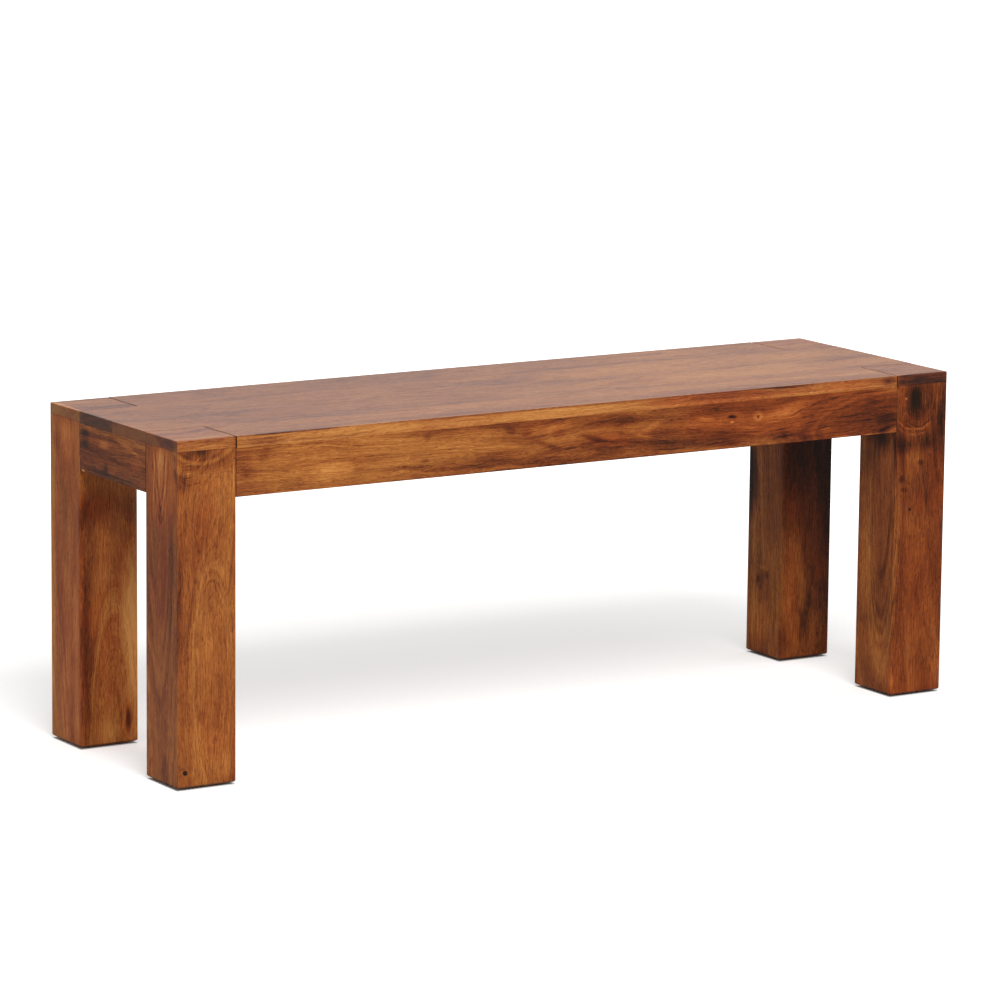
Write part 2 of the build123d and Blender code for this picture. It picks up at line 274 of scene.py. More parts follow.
def sheesham(name, grain, pith, tone, seed, lean=(0.0, 0.0), red=0.4, ring=9.0, contrast=1.0,
             fibre=BOARD_FIBRE, gloss=(0.34, 0.46), sheen=0.2, saw=0.0, eyes=(), marks=(), joints=()):
    """Sheesham, sanded and lacquered satin, or left sawn.

    The rings stand round a pith that runs along the grain, so lines wander along a board, arch where
    it leans and close into circles on an end. The lacquer gives a soft sheen at a low angle: gloss is
    its range of roughness. Lengths are in millimetres: a ring's width, the streaks that the fibres are
    drawn in, and a joint's place along its axis, which shows as a fine dark line.
    """
    material, put = new_material(name)
    turn = GRAIN_TURNS[grain]
    here = place_in_mm(put)
    local = put("ShaderNodeMapping", here, None, turn, vector_type="POINT")

    # The grain wanders slowly along the tree, and quickly round small faults
    slow = swing(put, local, SLOW_BEND_SIZE, SLOW_BEND, seed, 1.0)
    quick = swing(put, local, QUICK_BEND_SIZE, QUICK_BEND, seed + 3, 3.0)
    bent = put("ShaderNodeVectorMath", local, slow, operation="ADD")
    bent = put("ShaderNodeVectorMath", bent, quick, operation="ADD")
    along, radius = rings_of(put, bent, pith, lean)

    wavy = put("ShaderNodeVectorMath", quick, (WAVER,) * 3, here, operation="MULTIPLY_ADD")
    for shape in eyes:
        far = reach(put, wavy, shape)
        pull = put("ShaderNodeMapRange", far, EYE_HEART, shape["wide"], shape["pull"], 0.0,
                   interpolation_type="SMOOTHSTEP")
        rings = put("ShaderNodeMath", far, shape["rings"] * ring, EYE_STEP * shape["rings"] + seed,
                    operation="MULTIPLY_ADD")
        radius = put("ShaderNodeMix", pull, None, radius, rings)
    # Each mark is summed as soon as it is made, because Cycles can hold only so many loose values
    ink = tint = 0.0
    for shape in marks:
        fade = put("ShaderNodeMapRange", reach(put, wavy, shape), shape["soft"], 1.0, 1.0, 0.0,
                   interpolation_type="SMOOTHSTEP")
        ink = put("ShaderNodeMath", fade, shape["tone"], ink, operation="MULTIPLY_ADD")
        tint = put("ShaderNodeMath", fade, shape["red"], tint, operation="MULTIPLY_ADD")

    # Bands, veins and broad zones follow the rings. Fibres, pores and a ripple follow the bent grain.
    lines = put("ShaderNodeCombineXYZ", radius, along)
    bands = pattern(put, lines, (ring, BAND_LENGTH, 1), seed + 7, detail=2.6)
    veins = pattern(put, lines, (ring * VEIN_SHARE, VEIN_LENGTH, 1), seed + 11, roughness=0.6)
    veins = put("ShaderNodeMapRange", veins, *VEIN_EDGE)
    zone = pattern(put, lines, (ring * ZONE_SHARE, ZONE_LENGTH, 1), seed + 13, detail=1.0)
    fibres = pattern(put, bent, (fibre, FIBRE_WIDTH, FIBRE_WIDTH), seed + 17, detail=3.0, roughness=0.7)
    pores = pattern(put, bent, PORE_SIZE, seed + 19, detail=1.0)
    pores = put("ShaderNodeMapRange", pores, *PORE_EDGE)
    ripple = pattern(put, bent, RIPPLE_SIZE, seed + 23)

    # Noise lies round a half, so each part darkens as much wood as it lightens
    total = tone
    for value, much in ((bands, BAND_TONE * contrast), (zone, ZONE_TONE * contrast),
                        (fibres, FIBRE_TONE), (ripple, RIPPLE_TONE)):
        step = put("ShaderNodeMath", value, much, -0.5 * much, operation="MULTIPLY_ADD")
        total = put("ShaderNodeMath", step, total, operation="ADD")
    total = put("ShaderNodeMath", veins, VEIN_TONE * contrast, total, operation="MULTIPLY_ADD")
    total = put("ShaderNodeMath", pores, PORE_TONE, total, operation="MULTIPLY_ADD")
    # A mark is stronger in the dark bands, so it is streaked as the wood is
    streaked = put("ShaderNodeMath", bands, 0.5, operation="ADD")
    total = put("ShaderNodeMath", streaked, ink, total, operation="MULTIPLY_ADD")

    places = put("ShaderNodeSeparateXYZ", here).node.outputs
    for axis, where in joints:
        off = put("ShaderNodeMath", places[axis], where, operation="SUBTRACT")
        off = put("ShaderNodeMath", off, operation="ABSOLUTE")
        shade = put("ShaderNodeMapRange", off, *JOINT_LINE, JOINT_TONE, 0.0)
        total = put("ShaderNodeMath", shade, total, operation="ADD")

    redness = put("ShaderNodeMath", zone, ZONE_RED, red - ZONE_RED / 2, operation="MULTIPLY_ADD")
    redness = put("ShaderNodeMath", redness, BAND_RED / 2, operation="SUBTRACT")
    redness = put("ShaderNodeMath", bands, BAND_RED, redness, operation="MULTIPLY_ADD")
    redness = put("ShaderNodeClamp", put("ShaderNodeMath", redness, tint, operation="ADD"))
    golden, reddish = (colour_run(put, total, run) for run in (GOLDEN, REDDISH))
    colour = put("ShaderNodeMix", redness, named={6: golden, 7: reddish}, out=2, data_type="RGBA")

    # End grain is darker, because the lacquer soaks into its open pores
    facing = put("ShaderNodeTexCoord", out="Normal")
    facing = put("ShaderNodeMapping", facing, None, turn, vector_type="POINT")
    facing = put("ShaderNodeMath", put("ShaderNodeSeparateXYZ", facing), operation="ABSOLUTE")
    end_grain = put("ShaderNodeMapRange", facing, *END_GRAIN_FACING, 0.0, END_GRAIN_SHARE)
    colour = put("ShaderNodeMix", end_grain, out=2, data_type="RGBA",
                 named={6: colour, 7: linear(END_GRAIN)})

    # Fibres stand up under the lacquer and pores sink
    sunk = put("ShaderNodeMath", pores, -PORE_SINK, operation="MULTIPLY")
    height = put("ShaderNodeMath", fibres, FIBRE_RISE, sunk, operation="MULTIPLY_ADD")
    if saw:
        # Ridges across the grain. A wave at scale 1 repeats every 2 pi / 20.
        wave = 2 * math.pi / (20 * SAW_RIDGE)
        ridges = put("ShaderNodeTexWave", local, wave, SAW_WOBBLE, bands_direction="X", out=1)
        height = put("ShaderNodeMath", ridges, saw, height, operation="MULTIPLY_ADD")
    bump = put("ShaderNodeBump", named={
        "Height": height, "Strength": LACQUER_BUMP + SAW_BUMP * saw, "Distance": GRAIN_HEIGHT * MM})
    rough = put("ShaderNodeMapRange", fibres, *NOISE_SPAN, *gloss)
    shader = put("ShaderNodeBsdfPrincipled", named={
        "Base Color": colour, "Normal": bump, "Roughness": rough, "IOR": LACQUER_IOR,
        "Specular IOR Level": sheen})
    put("ShaderNodeOutputMaterial", shader)
    return material


def dress(names, material):
    """Gives these pieces one material."""
    for name in names:
        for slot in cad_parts[name].material_slots:
            slot.material = material


# The seat and its caps are rubbed smoother than the rest, and shine a little more
SEAT_SHEEN = 0.34


def timber(name, **figure):
    """Gives a piece its own lacquered sheesham, with what is usual for a leg, an apron or the seat."""
    low, high = (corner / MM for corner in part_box(name))
    usual = {"grain": "X"}
    if name.startswith("leg_"):
        usual = {"grain": "Z", "fibre": LEG_FIBRE, "joints": [("Z", high.z)]}
    elif name.startswith("apron_"):
        along = figure.get("grain", "X")
        usual["joints"] = [(along, getattr(corner, along.lower())) for corner in (low, high)]
    else:
        usual["sheen"] = SEAT_SHEEN
    dress([name], sheesham(f"lacquered_sheesham_{name}", **{**usual, **figure}))


# The figure of each piece: where its knots, veins and light and dark patches lie. Some patches are
# painted shade, shadow, highlight or sheen, and are marked so. Places are in millimetres along from
# the left end, back from the front and down from the top. A mark reads: place, radii, how much darker,
# how much redder, how soft its edge is and how it slants.

# Golden at its left and redder at its right, with long dark lines that climb and two small knots.
# A paler patch at its left is painted sheen, and its lower edge has painted shade and highlight.
timber("apron_front", pith=(-60, 300), lean=(0.03, 0.03), tone=0.52, red=0.45, ring=8, seed=3.1, eyes=[
    eye(842, 0, 37, (9, 9, 4), 2.0),
    eye(885, 0, 38.5, (5, 6, 4), 1.5),
    eye(1130, 0, 75, (150, 30, 42), 6.0, 0.8, 1.6),
], marks=[
    # Painted shade: a dark line along the lower edge, where the arris faces the floor
    mark(600, 0, 79, (560, 6, 3.4), 0.2, 0.2, 0.3),
    mark(300, 0, 68, (290, 9, 17), 0.12, 0.0, 0.3),
    # Painted sheen: a paler, less red patch at the left, for the lamp's reflection in the lacquer
    mark(225, 0, 45, (190, 16, 70), -0.15, -0.45, 0.4),
    mark(400, 0, 40, (130, 16, 40), 0.0, -0.3, 0.3),
    mark(126, 0, 25, (12, 8, 22), 0.12, 0.35, -0.2, 25),
    mark(100, 0, 49, (20, 8, 17), 0.1, 0.35, -0.2),
    mark(264, 0, 57, (12, 7, 4), 0.12, 0.2),
    mark(366, 0, 24, (10, 7, 6), 0.12, 0.2),
    mark(362, 0, 55, (9, 7, 5), 0.1, 0.2),
    mark(470, 0, 60, (56, 9, 18), 0.14, 0.3, 0.0),
    mark(392, 0, 67, (56, 9, 11), -0.16, 0.3, 0.0),
    mark(218, 0, 56, (56, 9, 26), -0.2, 0.0, 0.0),
    mark(982, 0, 66, (50, 9, 10), -0.14, 0.5, 0.0),
    mark(430, 0, 40, (90, 9, 30), -0.1, 0.2, 0.0),
    mark(560, 0, 72, (75, 9, 9), 0.16, 0.2),
    mark(492, 0, 26, (16, 8, 8), 0.18, 0.2, 0.1, 25),
    mark(546, 0, 48, (34, 8, 6), 0.18, 0.3, 0.1, 20),
    mark(550, 0, 26, (50, 8, 12), -0.12, 0.1),
    mark(517, 0, 31, (10, 7, 9), 0.0, 0.5),
    mark(568, 0, 36, (18, 7, 10), 0.04, 0.5),
    mark(625, 0, 47, (30, 8, 6), 0.22, 0.2, 0.1, 12),
    mark(650, 0, 50, (44, 8, 14), -0.14, 0.2, 0.2, 6),
    mark(670, 0, 29, (40, 8, 8), 0.14, 0.2, 0.1, -8),
    mark(645, 0, 40, (70, 14, 40), 0.06, 0.3),
    mark(790, 0, 60, (110, 9, 20), 0.14, 0.1, 0.3, 3),
    mark(860, 0, 40, (140, 14, 45), -0.08, 0.75, 0.4),
    mark(714, 0, 38, (30, 8, 7), -0.2, -0.1, -0.1, -22),
    mark(730, 0, 44, (60, 8, 16), 0.13, 0.4, 0.0),
    mark(700, 0, 49, (24, 8, 3.4), -0.18, 0.0, 0.1, 12),
    mark(800, 0, 35, (24, 8, 4.4), -0.24, -0.1, 0.1, 5),
    mark(842, 0, 35.5, (9, 6, 3), 0.5, 0.0, 0.2, 5),
    mark(842, 0, 42.5, (5, 5, 2.6), -0.35, -0.3),
    mark(872, 0, 52, (26, 7, 3), -0.12, 0.3, 0.2, 6),
    mark(885, 0, 38.5, (10, 7, 8), -0.3, -0.1, 0.4),
    mark(885, 0, 38.5, (3.4, 5, 3.2), 0.5, 0.2, 0.4),
    mark(840, 0, 72, (80, 9, 6), 0.12, 0.3, 0.0, 2),
    mark(950, 0, 68, (90, 9, 14), 0.2, 0.0, 0.0),
    mark(935, 0, 32, (70, 10, 15), -0.28, 0.1, -0.1, -14),
    mark(1030, 0, 45, (150, 14, 60), -0.02, 0.8, 0.4),
    mark(1080, 0, 54, (90, 10, 46), 0.26, 0.4, -0.1),
    mark(642, 0, 68, (50, 9, 10), 0.14, 0.0, 0.0),
    mark(812, 0, 24, (50, 9, 10), 0.12, 0.0, 0.0),
    mark(1075, 0, 33, (16, 7, 5), 0.16, 0.1, 0.1),
    mark(1100, 0, 58, (26, 8, 14), 0.16, 0.1),
    mark(1095, 0, 72, (26, 8, 6), 0.3, 0.0, 0.1, -8),
    *stroke([(600, 0, 40), (640, 0, 52), (672, 0, 57), (705, 0, 59),
             (760, 0, 63)], 8.0, 0.13, 0.1, soft=-0.2),
    *stroke([(760, 0, 44), (800, 0, 52), (850, 0, 58), (900, 0, 58)], 3.0, 0.26, 0.1),
    *stroke([(700, 0, 70), (780, 0, 72), (860, 0, 66)], 3.0, 0.2),
    *stroke([(936, 0, 42), (963, 0, 33), (990, 0, 25), (1030, 0, 20), (1110, 0, 18)], 3.4, 0.34),
    *stroke([(900, 0, 61), (950, 0, 55), (1000, 0, 51), (1072, 0, 47)], 3.0, 0.3),
    *stroke([(905, 0, 70), (960, 0, 66), (1020, 0, 58), (1090, 0, 56)], 3.0, 0.32),
    *stroke([(930, 0, 49), (985, 0, 42), (1040, 0, 37)], 2.6, 0.22),
    *stroke([(890, 0, 50), (930, 0, 45), (960, 0, 38)], 2.4, -0.16),
    *stroke([(940, 0, 75), (1000, 0, 71), (1060, 0, 68)], 3.0, 0.2),
    # Painted highlight: a pale line on the lower edge at the right, where the arris catches light
    *stroke([(1000, 0, 75.5), (1050, 0, 76.5), (1090, 0, 78)], 2.2, -0.4, -0.2),
])

# The palest edge of the front, with a redder stretch and a dark streak at its right. A paler band
# low on its edge is a painted highlight, and its top is painted paler towards the right as sheen.
timber("seat_stave_front", pith=(-190, 250), lean=(0.02, -0.01), tone=0.54, red=0.1, ring=7, seed=8.4,
       contrast=0.8, marks=[
    mark(600, 0, 8, (700, 6, 30), -0.18, 0.12, 0.6),
    mark(600, 48, 0, (620, 40, 7), -0.02, -0.4, 0.5),
    mark(170, 0, 0, (105, 9, 4), 0.35, 0.5, 0.3),
    mark(600, 0, 0.4, (530, 6, 3.4), 0.18),
    # Painted highlight: a paler band low on the front edge, where its rounded arris catches light
    mark(860, 0, 12, (300, 6, 3.4), -0.17),
    mark(130, 0, 9, (40, 10, 12), 0.14, 0.2),
    mark(310, 0, 9, (70, 10, 9), -0.1, -0.1),
    mark(430, 0, 8, (110, 12, 12), -0.1, -0.15, 0.3),
    mark(575, 0, 8, (130, 12, 12), -0.16, -0.1, 0.3),
    mark(790, 0, 8, (130, 14, 14), -0.04, 0.75, 0.3),
    mark(905, 0, 9, (85, 10, 10), 0.03, 0.4, 0.3),
    mark(812, 0, 8, (60, 10, 10), 0.14, 0.0, 0.0),
    mark(1020, 0, 8, (110, 10, 12), -0.08, 0.45, 0.0),
    mark(930, 0, 1.5, (60, 8, 2.6), 0.34, 0.2, 0.2, 1),
    mark(1040, 0, 8, (80, 10, 12), -0.04, 0.2, 0.3),
    mark(1100, 0, 6, (18, 8, 9), 0.3, 0.4, -0.1),
    # Painted sheen: the top is paler towards its right, where the lacquer's reflection grows
    mark(980, 60, 0, (420, 60, 12), -0.1, 0.0, 0.3),
    *stroke([(690, 0, 6), (780, 0, 4), (900, 0, 4)], 1.6, 0.2, 0.2),
    *stroke([(720, 0, 11), (820, 0, 12), (900, 0, 10)], 1.4, 0.18, 0.2),
    *stroke([(940, 0, 9), (1020, 0, 11), (1090, 0, 10)], 1.4, 0.16, 0.2),
])

# Curls under its cap, a small dark knot near the foot, and a tongue of arches on its left face
timber("leg_front_left", pith=(-125, 650), lean=(0.02, -0.1), tone=0.5, red=0.4, ring=8, seed=1.7,
       contrast=0.75, eyes=[
    eye(30, 0, -6, (26, 20, 22), 6.0, 0.85, 3.0),
    eye(45, 0, 290, (26, 22, 130), 5.0, 0.45, 1.35),
    eye(11.7, 0, 427, (4, 5, 4), 1.5, 0.9, 2.0),
    eye(0, 44, 10, (20, 18, 90), 3.0, 0.8, 1.4),
], marks=[
    mark(22, 0, 18, (34, 9, 9), 0.15, 0.1, 0.2, 3),
    mark(38, 0, 15, (14, 8, 6), 0.13, 0.1, 0.2, -10),
    mark(8, 0, 55, (16, 8, 20), 0.18),
    mark(42, 0, 30, (60, 9, 24), 0.1, 0.0, 0.0),
    mark(42, 0, 125, (60, 9, 60), 0.0, 0.3, 0.0),
    mark(2, 0, 215, (9, 8, 150), 0.14),
    mark(46, 0, 280, (24, 9, 60), -0.1, 0.2, 0.0),
    mark(35, 0, 358, (9, 6, 14), 0.08, 0.1),
    mark(50, 0, 395, (60, 9, 80), -0.16, 0.1, 0.0),
    mark(74, 0, 425, (16, 9, 30), -0.1, -0.3, 0.0),
    mark(11.7, 0, 427, (4.6, 6, 4.2), 0.6, -0.2, 0.45),
    # Painted light: the whole end face paler and redder, for warm light bounced onto this shaded side
    mark(0, 44, 225, (9, 70, 300), -0.05, 0.25, 0.6),
    mark(0, 66, 155, (9, 18, 60), 0.1, -0.5, 0.0),
    mark(0, 12, 155, (9, 18, 60), 0.14, -0.3, 0.0),
    mark(0, 44, 60, (9, 44, 70), -0.14, 0.3, 0.4),
    mark(0, 45, 42, (9, 11, 50), -0.16, 0.3),
    mark(0, 62, 70, (8, 3, 60), -0.14, -0.2),
    mark(0, 30, 70, (8, 3, 60), -0.14, -0.2),
    mark(0, 46, 96, (8, 5, 26), 0.2, 0.2),
    mark(0, 6, 44, (8, 7, 14), 0.16),
    mark(0, 14, 250, (9, 18, 160), 0.16, 0.0, 0.0),
    mark(0, 14, 64, (9, 16, 60), -0.18, 0.4, 0.0),
    mark(0, 36, 180, (9, 14, 90), 0.02, 0.3),
    mark(42, 0, 60, (70, 9, 36), -0.1, 0.2, 0.0),
    mark(0, 34, 430, (9, 14, 34), 0.16),
    mark(44, 0, 94, (30, 9, 22), -0.1, 0.2, 0.0),
    mark(0, 44, 28, (9, 60, 24), -0.12, 0.4, 0.0),
    mark(0, 72, 425, (9, 20, 40), -0.1, 0.4, 0.0),
    *stroke([(0, 58, 18), (0, 54, 50), (0, 47, 88), (0, 44, 96), (0, 41, 88), (0, 35, 50),
             (0, 32, 18)], 4.0, 0.34, 0.1),
    *stroke([(0, 68, 20), (0, 62, 60), (0, 52, 100), (0, 44, 112), (0, 36, 100), (0, 26, 60),
             (0, 22, 20)], 4.0, 0.22),
    *stroke([(0, 63, 18), (0, 58, 55), (0, 50, 92)], 4.0, -0.24),
    *stroke([(0, 27, 18), (0, 31, 55), (0, 38, 92)], 4.0, -0.2),
    *stroke([(3, 0, 37), (26, 0, 37), (38, 0, 28), (46, 0, 16)], 2.6, 0.2),
    *stroke([(4, 0, 48), (30, 0, 46), (48, 0, 34), (56, 0, 16)], 2.6, 0.16),
    *stroke([(10, 0, 58), (40, 0, 54), (58, 0, 40), (63, 0, 18)], 2.4, 0.14),
    *stroke([(2, 0, 30), (24, 0, 30), (34, 0, 22)], 2.0, -0.24, -0.1),
    *stroke([(3, 0, 42), (28, 0, 41), (43, 0, 30), (50, 0, 20)], 2.0, -0.18, -0.1),
    *stroke([(80, 0, 18), (81, 0, 78)], 3.0, -0.22, -0.1),
    *stroke([(12, 0, 290), (18, 0, 215), (34, 0, 168), (48, 0, 172), (66, 0, 220), (72, 0, 290)], 3.0, 0.1),
    *stroke([(22, 0, 300), (28, 0, 230), (42, 0, 200), (56, 0, 236), (60, 0, 300)], 2.6, 0.09),
])

# On its inner face, arches and a red-brown pocket near the foot. A pale orange strip down the right
# of that face is painted light, and its end face is painted warmer for the light bounced onto it.
timber("leg_back_left", pith=(100, 555), lean=(0.14, 0.03), tone=0.4, red=0.5, ring=8, seed=6.2,
       contrast=0.85, eyes=[
    eye(48, 266, 440, (20, 20, 112), 8.0, 0.8, 2.0),
    eye(70, 266, 418, (6, 8, 24), 2.0, 0.9, 1.6),
], marks=[
    # Painted light: the whole end face paler and redder, for warm light bounced onto this shaded side
    mark(0, 308, 225, (9, 70, 300), -0.04, 0.35, 0.6),
    mark(0, 342, 80, (8, 12, 110), 0.0, -1.0, 0.0),
    mark(0, 300, 40, (9, 26, 40), -0.16, 0.1, 0.4, 8),
    mark(0, 331, 50, (8, 12, 34), 0.14, 0.0, -0.1, 8),
    mark(0, 296, 300, (9, 30, 100), -0.14, 0.0, 0.0),
    mark(0, 312, 170, (9, 16, 70), 0.12, 0.0, 0.0),
    mark(0, 272, 320, (9, 22, 170), -0.2, 0.3, 0.3),
    mark(0, 308, 390, (9, 20, 100), -0.2, 0.1, 0.3),
    mark(0, 345, 260, (9, 14, 200), -0.08, -0.6, 0.3),
    mark(4, 266, 140, (30, 9, 60), 0.22, 0.0, 0.0),
    # Painted light: a pale orange strip down the right of the front, where light reaches in under the seat
    mark(84, 266, 310, (46, 9, 210), -0.66, 1.3, -0.1),
    mark(8, 266, 280, (24, 9, 200), 0.2, 0.0, 0.0),
    mark(42, 266, 172, (26, 9, 44), -0.2, 0.4, 0.0),
    mark(22, 266, 128, (50, 9, 34), 0.02, 0.6, 0.0),
    mark(42, 266, 430, (24, 9, 34), -0.2, 0.0, 0.0),
    mark(36, 266, 300, (26, 9, 210), -0.16, 0.4, 0.0),
    mark(76, 266, 132, (20, 9, 44), 0.2, 0.0, 0.0),
    mark(2, 266, 330, (18, 9, 190), 0.12, 0.0, 0.0),
    mark(42, 266, 392, (12, 9, 32), -0.08, 0.1),
    mark(70, 266, 416, (6.5, 8, 24), 0.62, 0.5),
    mark(0, 307, 130, (9, 22, 44), 0.16, -0.3, 0.0),
    mark(0, 280, 425, (9, 22, 40), -0.16, 0.1, 0.0),
    mark(0, 308, 30, (9, 50, 24), -0.08, 0.0, 0.0),
    mark(72, 266, 250, (26, 9, 130), -0.16, 0.9, 0.0),
    mark(16, 266, 275, (20, 9, 34), -0.16, 0.4, 0.0),
    mark(70, 266, 428, (18, 9, 36), -0.12, 0.5, 0.0),
])

# A large dark knot near its top with bright rings under it, and small specks below
timber("leg_front_right", pith=(-146, -576), lean=(0.02, 0.126), tone=0.532, red=0.75, ring=7, seed=11.3,
       contrast=0.8, sheen=0.16, eyes=[
    eye(1149, 0, 30, (16, 16, 26), 3.0, 0.8, 2.3),
    eye(1116, 28, 160, (18, 34, 220), 6.0, 0.5, 1.4),
], marks=[
    mark(1147, 0, 30, (18, 14, 25), 0.44, -0.5, -0.1),
    mark(1148, 0, 52, (21, 14, 28), 0.3, -0.3, -0.1),
    mark(1158, 0, 40, (56, 8, 60), 0.16, -0.1),
    mark(1192, 0, 96, (28, 12, 110), 0.08, 0.3, 0.1),
    mark(1122, 0, 100, (26, 10, 60), 0.14, 0.3, 0.0),
    mark(1158, 0, 158, (44, 9, 60), 0.2, 0.1, 0.0),
    mark(1170, 0, 174, (4, 6, 16), 0.12),
    mark(1140, 0, 96, (50, 8, 22), 0.24, 0.1, 0.0),
    mark(1170, 0, 96, (30, 9, 26), 0.16, 0.0, 0.0),
    mark(1150, 0, 300, (60, 9, 130), 0.04, 0.1, 0.0),
    mark(1184, 0, 40, (6, 8, 22), -0.2, 0.2, 0.0),
    mark(1193, 0, 60, (10, 12, 60), 0.18, 0.2, 0.0),
    mark(1192, 0, 72, (20, 12, 50), 0.1, -0.5, 0.0),
    mark(1158, 0, 124, (9, 6, 6), 0.22),
    mark(1127, 0, 145, (8, 6, 8), 0.22),
    mark(1131, 0, 160, (9, 6, 6), 0.2),
    mark(1141, 0, 188, (3.5, 5, 3.5), 0.4, 0.0, 0.3),
    mark(1145, 0, 262, (14, 10, 70), -0.06),
    mark(1192, 0, 420, (20, 10, 40), -0.14, 0.0, 0.0),
    mark(1150, 0, 440, (70, 14, 40), -0.12, 0.2, -0.2),
    mark(1118, 0, 430, (20, 10, 40), -0.08, 0.2, -0.2),
    mark(1131, 0, 33, (2.2, 4, 2.2), -0.5, -0.3),
    # Painted sheen: the whole side face less red, for the lacquer's pale reflection at this low angle
    mark(1116, 40, 225, (8, 70, 300), 0.05, -0.55, 0.6),
    mark(1116, 10, 422, (8, 26, 34), -0.26, 0.3, 0.0),
    mark(1116, 40, 92, (8, 60, 18), 0.16, 0.0, 0.0),
    mark(1116, 20, 150, (8, 30, 60), -0.04, 0.0, 0.0),
    mark(1116, 14, 270, (8, 16, 60), -0.06, 0.1, 0.0),
    mark(1116, 30, 180, (8, 40, 60), -0.1, 0.3, 0.0),
    mark(1116, 66, 300, (8, 30, 120), -0.14, 0.1, 0.0),
    mark(1116, 42, 250, (8, 12, 60), -0.12, 0.2),
    mark(1116, 36, 385, (8, 60, 50), -0.26, 0.4, 0.0),
    mark(1125, 0, 32, (16, 9, 30), -0.12, 0.2, 0.0),
    mark(1150, 0, 60, (40, 9, 18), -0.14, 0.5, 0.0),
    mark(1186, 0, 155, (18, 9, 60), -0.1, 0.2, 0.0),
    mark(1158, 0, 178, (16, 9, 30), -0.12, 0.5, 0.0),
    mark(1128, 0, 400, (18, 9, 50), -0.06, 0.0, 0.0),
    mark(1158, 0, 380, (60, 9, 110), -0.06, 0.0, 0.0),
    mark(1156, 0, 350, (18, 9, 60), -0.08, 0.0, 0.0),
    mark(1116, 68, 250, (8, 24, 130), -0.16, 0.1, 0.0),
    mark(1116, 26, 122, (8, 34, 34), -0.12, 0.0, 0.0),
    mark(1116, 14, 250, (8, 18, 60), -0.12, 0.1, 0.0),
    mark(1116, 24, 376, (8, 34, 26), 0.08, 0.0, 0.0),
    mark(1116, 40, 428, (8, 18, 34), -0.1, 0.3, 0.0),
    *stroke([(1119, 0, 64), (1129, 0, 73), (1144, 0, 77), (1159, 0, 76),
             (1174, 0, 68)], 5.0, -0.32, 0.2, soft=-0.2),
    *stroke([(1118, 0, 72), (1132, 0, 82), (1150, 0, 85), (1168, 0, 80)], 4.0, -0.22, 0.1, soft=-0.2),
])

# Its front is painted with shade: darkest under the seat, and down its right half where the front
# right leg shades it. A paler, redder strip runs down the left of its front.
timber("leg_back_right", pith=(300, -520), lean=(0.05, -0.03), tone=0.58, red=0.74, ring=8, seed=14.9,
       contrast=0.9, sheen=0.16, marks=[
    # Painted sheen: the whole side face less red, for the lacquer's pale reflection at this low angle
    mark(1116, 308, 250, (7, 70, 300), -0.05, -0.6, 0.5),
    mark(1116, 352, 190, (9, 30, 90), 0.66, -1.4, 0.1),
    mark(1116, 318, 400, (9, 34, 60), -0.24, 0.3, 0.3),
    # Painted shade under the seat, across the top of the front
    mark(1164, 266, 140, (100, 14, 120), 0.36, 0.2, -0.1),
    # Painted shadow of the front right leg, down the right half of the front
    mark(1196, 266, 290, (50, 14, 240), 0.3, 0.2, -0.1),
    mark(1120, 266, 420, (20, 9, 40), 0.16, 0.0, 0.0),
    mark(1134, 266, 340, (26, 10, 160), -0.24, 0.5, -0.1),
    mark(1161, 266, 385, (14, 8, 70), 0.34, 0.0, 0.0),
    mark(1116, 330, 210, (9, 13, 55), 0.12),
    mark(1116, 323, 338, (8, 8, 10), 0.3, 0.0, 0.0),
    mark(1116, 301, 330, (8, 8, 9), 0.2, 0.0, 0.0),
    mark(1116, 313, 320, (8, 18, 6), -0.14, 0.0, 0.0),
    mark(1132, 266, 225, (18, 9, 30), -0.12, 0.1, 0.0),
    mark(1184, 266, 325, (16, 9, 30), -0.16, 0.2, 0.0),
    mark(1116, 333, 375, (8, 20, 90), -0.12, 0.0, 0.0),
    mark(1116, 294, 300, (8, 30, 54), -0.12, 0.2, 0.0),
])

# Broad dark and pale patches, and a pale chip at its lower edge
timber("apron_left", grain="Y", pith=(560, 250), lean=(0.05, 0.03), tone=0.56, red=0.55, ring=8, seed=17.0,
       marks=[
    mark(0, 250, 32, (8, 18, 20), 0.22, -0.3),
    mark(0, 198, 33, (8, 20, 9), -0.26, 0.2),
    mark(0, 138, 27, (8, 40, 5), -0.24, 0.2, 0.2, -8),
    mark(0, 110, 46, (8, 26, 14), -0.14, 0.3, 0.3),
    mark(0, 175, 66, (8, 17, 6), -0.16, 0.3),
    mark(0, 175, 72, (8, 110, 12), 0.16, -0.1, 0.3),
    mark(0, 192, 64, (8, 8, 12), 0.16),
    mark(0, 256, 76.5, (6, 7, 2), -0.5, -0.4),
    mark(0, 110, 34, (8, 14, 5), -0.15, 0.1, 0.2, -12),
    *stroke([(0, 186, 46), (0, 160, 42), (0, 140, 40), (0, 100, 32)], 3.0, 0.2),
    *stroke([(0, 170, 56), (0, 140, 52), (0, 100, 44)], 2.4, 0.16),
])

# The caps and the seat's other staves are plainer
timber("cap_front_left", pith=(-60, 350), tone=0.44, red=0.3, ring=7, seed=20.2, marks=[
    mark(0, 42, 7, (7, 70, 30), -0.08, 0.4, 0.5),
    mark(0, 20, 6, (7, 24, 9), 0.25, 0.0, 0.3),
    mark(50, 0, 4, (30, 6, 5), 0.08, 0.1),
])

timber("cap_back_left", pith=(20, 340), tone=0.56, red=0.0, ring=7, seed=22.4, marks=[
    mark(0, 308, 7, (7, 70, 30), -0.4, 0.6, 0.5),
])

timber("cap_front_right", pith=(-40, 340), tone=0.46, red=0.3, ring=7, seed=25.1, marks=[
    mark(1158, 0, 8, (60, 7, 30), 0.3, 1.1, 0.5),
    mark(1150, 0, 8, (26, 8, 10), 0.1, 0.0, 0.0),
])

